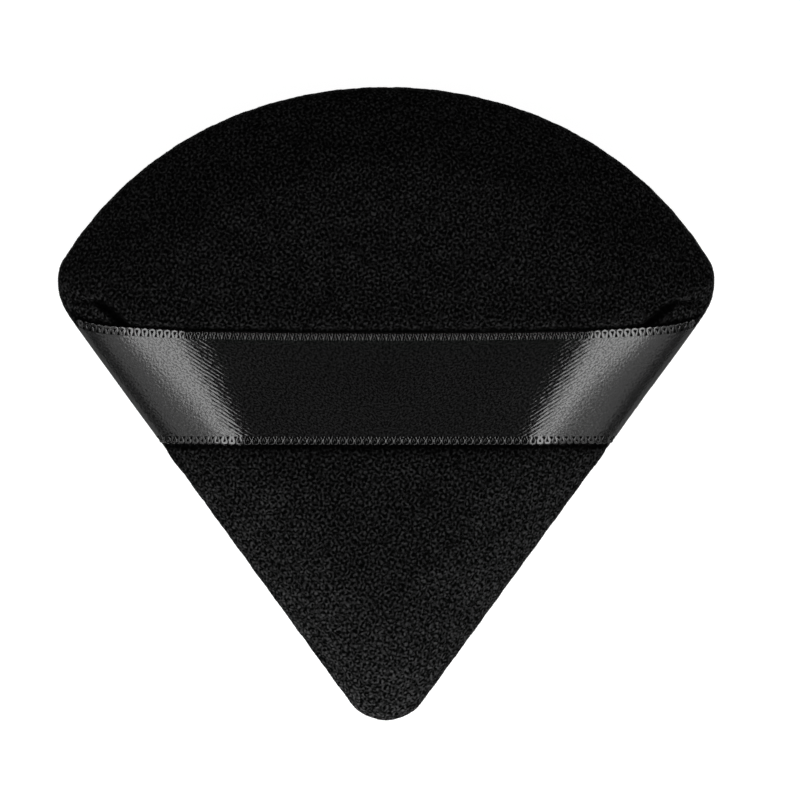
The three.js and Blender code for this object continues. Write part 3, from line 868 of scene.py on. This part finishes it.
def velour_material(velour):
    """Short black pile: a fine winding grain of light tufts and pits darkened with painted shade, in slow
    random tones.
    """
    material, shader, place = new_material("black_velour", {
        "Roughness": 0.85, "Specular IOR Level": 0.02, "Sheen Weight": 0.02, "Sheen Roughness": 0.3,
    })
    tuft, waves, lowest, highest = velour.tuft_size, 9, -4.3, 5.2
    bent = place.noise(0.3 / tuft, 2.0, output="Color").scaled(3.2 * tuft)
    moved = place.vector_math("ADD", {1: bent})
    grain = (place.noise(1.1 / tuft) - 0.5) * 11.0
    for number in range(waves):
        turn = math.pi * (number + 0.25 * (number % 2)) / waves
        pitch = 2 * tuft * (0.86 + 0.035 * (number * 4 % waves))
        rise = 0.7 if number % 2 else -0.7
        heading = [2 * math.pi / pitch * part for part in (math.cos(turn), math.sin(turn), rise)]
        grain = grain + maths("SINE", moved.vector_math("DOT_PRODUCT", {1: heading}, "Value"))
    height = value_of(
        grain.tree, "ShaderNodeMapRange", {"Value": grain, "From Min": lowest, "From Max": highest},
    )
    # the winding grain is the pile's own; the pits' darkness between the tufts is painted shade
    pile = maths("POWER", height, 2.1).between(velour.pit_shade_colour, velour.tuft_colour)
    shade = place.noise(1 / (3 * MM), 2.0).eased(0.3, 0.7, 0.88, 1.1)
    # painted light and shade: the crease attribute darkens the colour in the corner creases, along the
    # ribbon and below it, and lightens it at the face side's rim where it is below 0
    crease = value_of(grain.tree, "ShaderNodeAttribute", output="Fac", attribute_name="crease")
    surface(shader, pile.scaled(shade * (1.0 - crease)), height, 1.0, 0.03 * MM)
    return material


def fibre_material(velour):
    """Loose fibres, a shade darker than the tufts."""
    material, shader, place = new_material("velour_fibre", {"Roughness": 0.6, "Specular IOR Level": 0.4})
    lot = place.noise(1 / (0.5 * MM)).eased(0.35, 0.65)
    join(shader, {"Base Color": lot.toned(velour.tuft_colour, 0.1, 0.4)})
    return material


def satin_material(ribbon):
    """Black satin: fine ribs that fall towards the ribbon's middle from both ends. They open up and
    catch the light where it folds. Its own places are in millimetres."""
    material, shader, _ = new_material("black_satin", {"IOR": 1.8, "Specular IOR Level": 1.0})
    uv = value_of(material.node_tree, "ShaderNodeUVMap", uv_map="ribbon_mm")
    at = node(uv.tree, "ShaderNodeSeparateXYZ", {0: uv}).outputs
    along, across = abs(Value(at[0])), Value(at[1])
    pitch = ribbon.twill_pitch / MM

    # places across and along the ribs, which slant
    lengthwise, crosswise = 0.51, 0.86
    slant = along * lengthwise - across * crosswise
    phase = slant + uv.noise(0.5, 2.0) * 0.1
    ridge = abs(maths("SINE", phase * (math.pi / pitch)))
    cross = along * crosswise + across * lengthwise
    picks = combined(uv.tree, slant * (1 / pitch), cross * 1.1).noise(1.6)
    threads = combined(uv.tree, slant * 6.2, cross * 3.8).noise(1.0)

    # how far beyond the fold a place lies, towards the ribbon's end
    beyond = along - ribbon.fold_place / MM - across * 0.45
    opened = beyond.eased(-3.4, -0.8, 0.22, 1.0) - beyond.eased(0.3, 2.5, 0.0, 0.88)
    depth = picks.eased(0.3, 0.7, 0.6, 1.35) * opened
    woven = ridge * depth + uv.noise(3.6) * beyond.eased(-2.0, 3.0, 0.5, 2.2)
    tone = threads.eased(0.36, 0.66).toned(ribbon.satin_colour, 0.1, 2.9)
    surface(shader, tone, woven, 1.0, ribbon.twill_depth)
    loose = beyond.eased(-1.5, 1.0, 0.14, 1.0) - beyond.eased(2.0, 7.5, 0.0, 0.76)
    gaps = threads.eased(0.38, 0.66, 0.0, 0.3) * loose
    join(shader, {"Roughness": gaps + (beyond.eased(1.0, 7.0, 0.0, 0.05) + 0.13)})
    return material


def loop_material(ribbon):
    """Loose satin yarn of the looped edges."""
    material, shader, place = new_material("satin_loops", {
        "Roughness": 0.11, "IOR": 1.87, "Specular IOR Level": 1.0,
    })
    plies = place.noise(1 / (0.12 * MM), 2.0)
    surface(shader, plies.toned(ribbon.satin_colour, 0.2, 0.6), plies, 0.05, 0.01 * MM)
    return material


def yarn_material(name, base, twist):
    """Twisted yarn, with its strands as slanting ribs."""
    material, shader, place = new_material(name, {"Roughness": 0.45})
    strands = value_of(place.tree, "ShaderNodeTexWave", {
        "Vector": place, "Scale": 1 / twist / (2 * math.pi), "Distortion": 1.5, "Detail": 1.0,
    }, wave_type="BANDS", bands_direction="DIAGONAL")
    surface(shader, strands.toned(base, 0.5, 1.6), strands, 0.6, 0.03 * MM)
    return material


def foam_material(core):
    """Open cell foam: pale walls round cells darkened with painted shade in the pores."""
    material, shader, place = new_material("open_cell_foam", {"Roughness": 0.9})
    cells = {"Vector": place, "Scale": 1 / core.pore_size}
    # painted shade: the foam is darker towards each cell's middle, where the pores are
    walls = value_of(place.tree, "ShaderNodeTexVoronoi", cells, "Distance", feature="F1").eased(0.15, 0.6)
    surface(shader, walls.toned(core.foam_colour, 0.45, 1.0), walls, 0.8, 0.2 * MM)
    return material


# Operators

class PUFF_OT_velour(bpy.types.Operator):
    """Make the two velour panels, their nap and its loose fibres"""

    bl_idname = "puff.velour"
    bl_label = "Velour panels"

    def execute(self, context):
        velour, form = context.scene.puff_velour, Form(context.scene)
        pile, fibres = velour_material(velour), fibre_material(velour)
        nap, strewing = nap_tree(), fibre_tree()
        lift = swelling(form, velour)
        for name, node_name, side, fill in (
            ("velour_strap_side", "strap_side_cover", 1, 0.8),
            ("velour_face_side", "face_side_cover", -1, 0.7),
        ):
            panel = panel_mesh(name, form, velour, side, lift, pile)
            grow(panel, nap, {
                "Clump size": velour.clump_size, "Depth": velour.nap_depth, "Material": pile,
            })
            loose = linked(name.replace("velour", "nap"), panel.data.copy())
            outer_area = sum(p.area for p in panel.data.polygons) / 2
            grow(loose, strewing, {
                "Density": velour.fibre_count / outer_area, "Seed": 7 + side, "Material": fibres,
                "Length": velour.fibre_length, "Width": velour.fibre_width,
            })
            for piece in (panel, loose):
                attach(piece, "pad")
            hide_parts(node_name)
        return {"FINISHED"}


class PUFF_OT_core(bpy.types.Operator):
    """Make the foam core"""

    bl_idname = "puff.core"
    bl_label = "Foam core"

    def execute(self, context):
        core, velour = context.scene.puff_core, context.scene.puff_velour
        form, shape = Form(context.scene), context.scene.puff_shape
        inset = velour.arch_rim + velour.thickness + core.clearance
        rise = shape.crown_rise - velour.thickness - core.clearance
        slot = shape.bulge_rise - core.clearance
        floor = shape.seam_inset + velour.allowance_width + core.clearance

        # over the top, in under the turned-in edges, down, out again and back over the bottom
        parts = np.concatenate(form.shares(FOAM_STEP))
        thirds = (0.33, 0.67, 1.0)
        rows = [form.ring(inset, part, form.crown(part, rise)) for part in parts]
        rows += [form.ring(inset, 1, slot)]
        rows += [form.ring(inset + (floor - inset) * t, 1, slot) for t in thirds]
        rows += [form.ring(floor, 1, slot * (1 - 2 * t)) for t in thirds]
        rows += [form.ring(floor + (inset - floor) * t, 1, -slot) for t in thirds]
        rows += [form.ring(inset, part, -form.crown(part, rise)) for part in parts[::-1]]
        grid = np.array(rows)
        pits = slow_waves(grid, 2.2 * MM, 0.9 * MM, 31)
        pits = pits + slow_waves(grid + grid[..., 2:] * 0.7, 1.6 * MM, 0.7 * MM, 37)
        pit_depth, deepest, under_floor = 0.1 * MM, 1.5, 0.2 * MM
        grid = grid - outward(grid) * (pit_depth * np.clip(pits, 0, deepest))[..., None]
        grid = grid[:, ::2]
        ends = [[0, form.crown_y, rise], [0, form.crown_y, -rise]]
        placed = np.concatenate([grid.reshape(-1, 3), ends]) + [0, 0, SEAM_HEIGHT]
        lowest = velour.thickness + core.clearance - under_floor
        placed[:, 2] = np.maximum(placed[:, 2], lowest)
        faces = ring_faces([grid.shape[1]] * len(grid), False)
        foam = mesh_object("foam_cushion", placed, faces, foam_material(core))
        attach(foam, "pad")
        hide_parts("foam_core")
        return {"FINISHED"}


def ribbon_grid(form, velour, columns, half_width):
    """Middle surface of the ribbon as rows from its left sewn end to its right one, and the places of
    its columns over its width."""
    s, r = form.shape, form.ribbon
    angle, rim, step = form.side_angle, velour.side_rim, 0.21 * MM
    across = np.linspace(-half_width, half_width, columns)
    climb = r.edge_rise * (across / r.width + 0.5)
    middle_y = form.widest_y - r.drop + across

    def over_side(reach, height, turned, part=1.0):
        y = middle_y + turned * climb
        x = (reach + math.sin(angle) * (y - form.crown_y)) / -math.cos(angle)
        return np.stack([x, y, height + form.lean(part, across)], 1)

    # section of the cover under the ribbon, from the seam up to the start of the crown
    turns = np.linspace(math.pi / 2, 0, 14)
    parts = np.concatenate([form.shares(step)[1][::-1][1:], [1 - form.shoulder_share]])
    reach = form.crown_reach - rim
    reaches = np.concatenate([reach - (s.seam_inset - rim) * (1 - np.cos(turns)), reach * parts])
    heights = np.concatenate([
        s.bulge_rise - (s.bulge_rise - r.seam_gap) * np.sin(turns), form.crown(parts, s.crown_rise),
    ])
    passed = np.concatenate([np.ones(len(turns)), parts])
    tucked = np.concatenate([np.sin(turns) ** 2, np.zeros(len(parts))])
    away = unit(np.stack([np.gradient(heights), -np.gradient(reaches)], 1))
    away *= (r.seam_gap * tucked - r.sunk * (1 - tucked))[:, None]
    tab_end = form.crown_reach - s.seam_inset - velour.allowance_width
    rows = [over_side(reach, 0.0, 1.0) for reach in np.arange(tab_end, reaches[0] - step / 2, step)]
    rows += map(over_side, reaches + away[:, 0], heights + away[:, 1], form.turned(passed), passed)

    # over the crown to the ribbon's middle
    start = rows[-1][:, 0]
    for t in np.linspace(0, 1, int(abs(start).mean() / step) + 1)[1:]:
        y = middle_y + form.CLIMB[0] * (1 - t) ** 2 * climb
        reach = -math.cos(angle) * start * (1 - t) - math.sin(angle) * (y - form.crown_y)
        part = np.clip(reach / form.crown_reach, 0, 1 - form.shoulder_share)
        z = form.crown(part, s.crown_rise) + form.lean(part, across) - r.sunk
        rows.append(np.stack([start * (1 - t), y, z], 1))
    left = np.array(rows)
    grid = np.concatenate([left, (left[:-1] * [*MIRROR, 1.0])[::-1]])
    grid[..., 2] += SEAM_HEIGHT
    return grid, across


def strip_faces(rows, columns):
    """Faces of a closed strip with an upper and a lower grid of points."""
    index = np.arange(rows * columns).reshape(rows, columns)
    under = index + rows * columns
    return np.concatenate([np.stack([corner.ravel() for corner in corners], 1) for corners in (
        (index[:-1, :-1], index[1:, :-1], index[1:, 1:], index[:-1, 1:]),
        (under[:-1, :-1], under[:-1, 1:], under[1:, 1:], under[1:, :-1]),
        (index[:-1, 0], under[:-1, 0], under[1:, 0], index[1:, 0]),
        (index[1:, -1], under[1:, -1], under[:-1, -1], index[:-1, -1]),
        (index[0, 1:], under[0, 1:], under[0, :-1], index[0, :-1]),
        (index[-1, :-1], under[-1, :-1], under[-1, 1:], index[-1, 1:]),
    )])


class PUFF_OT_ribbon(bpy.types.Operator):
    """Make the satin ribbon from sewn end to sewn end, and its picot edges"""

    bl_idname = "puff.ribbon"
    bl_label = "Ribbon strap"

    def execute(self, context):
        ribbon, form = context.scene.puff_ribbon, Form(context.scene)
        half_width, columns = ribbon.width / 2 - ribbon.picot_width, 53
        grid, across = ribbon_grid(form, context.scene.puff_velour, columns, half_width)
        normals = unit(np.cross(np.gradient(grid, axis=0), np.gradient(grid, axis=1)))
        walked = walked_along(grid)
        sway_height, tapered, taper_width = 0.025 * MM, 0.9, 0.35 * MM
        sway = sway_height * slow_waves(grid, 16 * MM, 7 * MM, 5)
        shown = smooth(grid[..., 2] - SEAM_HEIGHT, 0.5 * MM, 2 * MM)
        grid = grid + normals * (sway * shown)[..., None]
        at_edge = smooth(np.abs(across), half_width - taper_width, half_width)
        body = ribbon.thickness * (1 - tapered * at_edge)
        upper = grid + normals * ribbon.thickness / 2
        lower = upper - normals * body[None, :, None]
        points = np.concatenate([upper.reshape(-1, 3), lower.reshape(-1, 3)])
        strap = mesh_object("satin_ribbon", points, [strip_faces(*walked.shape)], satin_material(ribbon))
        strap.data.set_sharp_from_angle(angle=math.radians(40))

        # flat places in millimetres, from the ribbon's middle
        along = walked - walked[len(walked) // 2]
        flat = np.stack([along.ravel(), np.broadcast_to(across, along.shape).ravel()], 1) / MM
        corners = np.empty(len(strap.data.loops), np.int32)
        strap.data.loops.foreach_get("vertex_index", corners)
        uv = strap.data.uv_layers.new(name="ribbon_mm")
        uv.data.foreach_set("uv", flat[corners % len(flat)].astype(np.float32).ravel())

        picots = self.picots(ribbon, grid[grid[:, 0, 2] > SEAM_HEIGHT + 0.2 * MM])
        for piece in (strap, *picots):
            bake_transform(piece)
        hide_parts("ribbon_strap", "ribbon_left_tab", "ribbon_right_tab")
        return {"FINISHED"}

    def picots(self, ribbon, grid):
        """The loops along both woven edges. They are rounder where the ribbon folds."""
        yarn, tree, made = loop_material(ribbon), picot_tree(), []
        for name, column, beside in (("picot_upper_edge", -1, -2), ("picot_lower_edge", 0, 1)):
            line = grid[:, column]
            path = bpy.data.meshes.new(name)
            path.from_pydata(line.tolist(), [(i, i + 1) for i in range(len(line) - 1)], [])
            edge = linked(name, path)
            give(edge, "outwards", unit(line - grid[:, beside]), "FLOAT_VECTOR")
            bent = smooth(np.abs(line[:, 0]), ribbon.fold_place - 5 * MM, ribbon.fold_place)
            bent = bent * (0.2 + 0.8 * smooth(line[:, 2] - SEAM_HEIGHT, 1.2 * MM, 3.4 * MM))
            flattest, rounder = 0.02, 0.07
            give(edge, "roundness", flattest + rounder * bent)
            grow(edge, tree, {
                "Pitch": ribbon.picot_pitch, "Reach": ribbon.picot_width, "Root": ribbon.picot_root,
                "Strand": ribbon.strand, "Material": yarn,
            })
            made.append(edge)
        return made


class PUFF_OT_threads(bpy.types.Operator):
    """Give the sewing threads of the seam their finish"""

    bl_idname = "puff.threads"
    bl_label = "Sewing threads"

    def execute(self, context):
        black, twist = (0.009, 0.009, 0.0095), 0.22 * MM
        thread = yarn_material("twisted_thread", black, twist)
        for name in ("seam_needle_thread", "seam_bobbin_thread", "closing_thread"):
            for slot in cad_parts[name].material_slots:
                slot.material = thread
        return {"FINISHED"}


class PUFF_OT_studio(bpy.types.Operator):
    """Make the pale floor, the soft lights and the camera"""

    bl_idname = "puff.studio"
    bl_label = "Studio"

    def execute(self, context):
        studio = context.scene.puff_studio
        half = studio.floor_size / 2
        floor = mesh_object(
            "floor", [(-half, -half, 0), (half, -half, 0), (half, half, 0), (-half, half, 0)],
            [np.array([[0, 1, 2, 3]])], self.floor_material(),
        )
        self.world(studio)
        self.lamps(studio, Form(context.scene).side_angle)
        lens = bpy.data.cameras.new("camera")
        lens.lens = lens.sensor_width * studio.view_distance / studio.view_width
        lens.clip_start, lens.clip_end = 0.01, 10
        camera = linked("camera", lens)
        camera.location = (studio.view_right, studio.view_up, SEAM_HEIGHT + studio.view_distance)
        context.scene.camera = camera
        context.scene.view_settings.view_transform = "Standard"
        return {"FINISHED"}

    def lamps(self, studio, side):
        """Area lamps round the puff, by heading, degrees from upright, distance, size and power."""
        sides = (("left", math.pi + side), ("right", -side))
        corners = (("left", math.pi - 0.15), ("right", 0.15))
        tip, arch = (("tip", math.radians(270)),), (("arch", math.radians(90)),)
        for kind, headings, leaning, distance, size, power in (
            ("lamp", tip, 73, 0.125, (0.04, 0.11), studio.tip_light),
            ("strip", sides, 28.5, 0.5, (0.19, 0.34), studio.strip_light),
            ("low", corners, 77, 0.5, (0.2, 0.3), studio.low_light),
            ("lamp", arch, 86, 0.5, (0.05, 0.4), studio.arch_light),
            ("edge", sides, 76, 0.5, (0.22, 0.34), studio.edge_light),
            ("panel", sides, 51, 0.5, (0.25, 0.34), studio.side_light),
        ):
            for place, heading in headings:
                light = bpy.data.lights.new(f"{place}_{kind}", "AREA")
                light.shape, light.size, light.size_y, light.energy = "RECTANGLE", *size, power
                lamp = linked(light.name, light)
                turned = Euler((0, math.radians(leaning), heading)).to_matrix()
                lamp.location = turned @ Vector((0, 0, distance))
                lamp.rotation_euler = turned.to_euler()
                lamp.visible_camera = False
                # the tip's lamp is near: the satin would mirror it as a white patch, seen from behind
                lamp.visible_glossy = place != "tip"

    def floor_material(self):
        """Pale floor that shows as white and keeps the puff's shadow."""
        material, shader, place = new_material("pale_floor", {
            "Roughness": 0.9, "Specular IOR Level": 0.1, "Emission Color": (1, 1, 1, 1),
        })
        seen = value_of(place.tree, "ShaderNodeLightPath", output="Is Camera Ray")
        tone = place.noise(60.0, 2.0).toned((1, 1, 1), 0.24, 0.26)
        join(shader, {"Base Color": tone, "Emission Strength": seen * 0.96})
        return material

    def world(self, studio):
        """Soft light from all round, white where the camera sees past the floor."""
        world = bpy.data.worlds.new("studio")
        world.use_nodes = True
        tree = world.node_tree
        tree.nodes.clear()
        seen = value_of(tree, "ShaderNodeLightPath", output="Is Camera Ray")
        strength = seen * (1.0 - studio.fill) + studio.fill
        light = value_of(tree, "ShaderNodeBackground", {"Color": (1, 1, 1, 1), "Strength": strength})
        node(tree, "ShaderNodeOutputWorld", {"Surface": light})
        bpy.context.scene.world = world


class PUFF_PT_panel(bpy.types.Panel):
    """Sizes, colours and makers of the powder puff"""

    bl_idname = "PUFF_PT_panel"
    bl_label = "Powder Puff"
    bl_space_type = "VIEW_3D"
    bl_region_type = "UI"
    bl_category = "Powder Puff"

    def draw(self, context):
        for name in GROUPS:
            group = getattr(context.scene, name)
            box = self.layout.box()
            for field in group.__annotations__:
                box.prop(group, field)
        for maker in MAKERS:
            self.layout.operator(maker.bl_idname)


MAKERS = (PUFF_OT_velour, PUFF_OT_core, PUFF_OT_ribbon, PUFF_OT_threads, PUFF_OT_studio)
CLASSES = (*GROUPS.values(), *MAKERS, PUFF_PT_panel)


def register():
    for made in CLASSES:
        bpy.utils.register_class(made)
    for name, group in GROUPS.items():
        setattr(bpy.types.Scene, name, PointerProperty(type=group))


def unregister():
    for name in GROUPS:
        delattr(bpy.types.Scene, name)
    for made in reversed(CLASSES):
        bpy.utils.unregister_class(made)


def main():
    """Makes every piece."""
    register()
    bpy.ops.puff.studio()
    bpy.ops.puff.velour()
    bpy.ops.puff.core()
    bpy.ops.puff.ribbon()
    bpy.ops.puff.threads()
    bpy.context.view_layer.update()


if __name__ == "__main__":
    main()
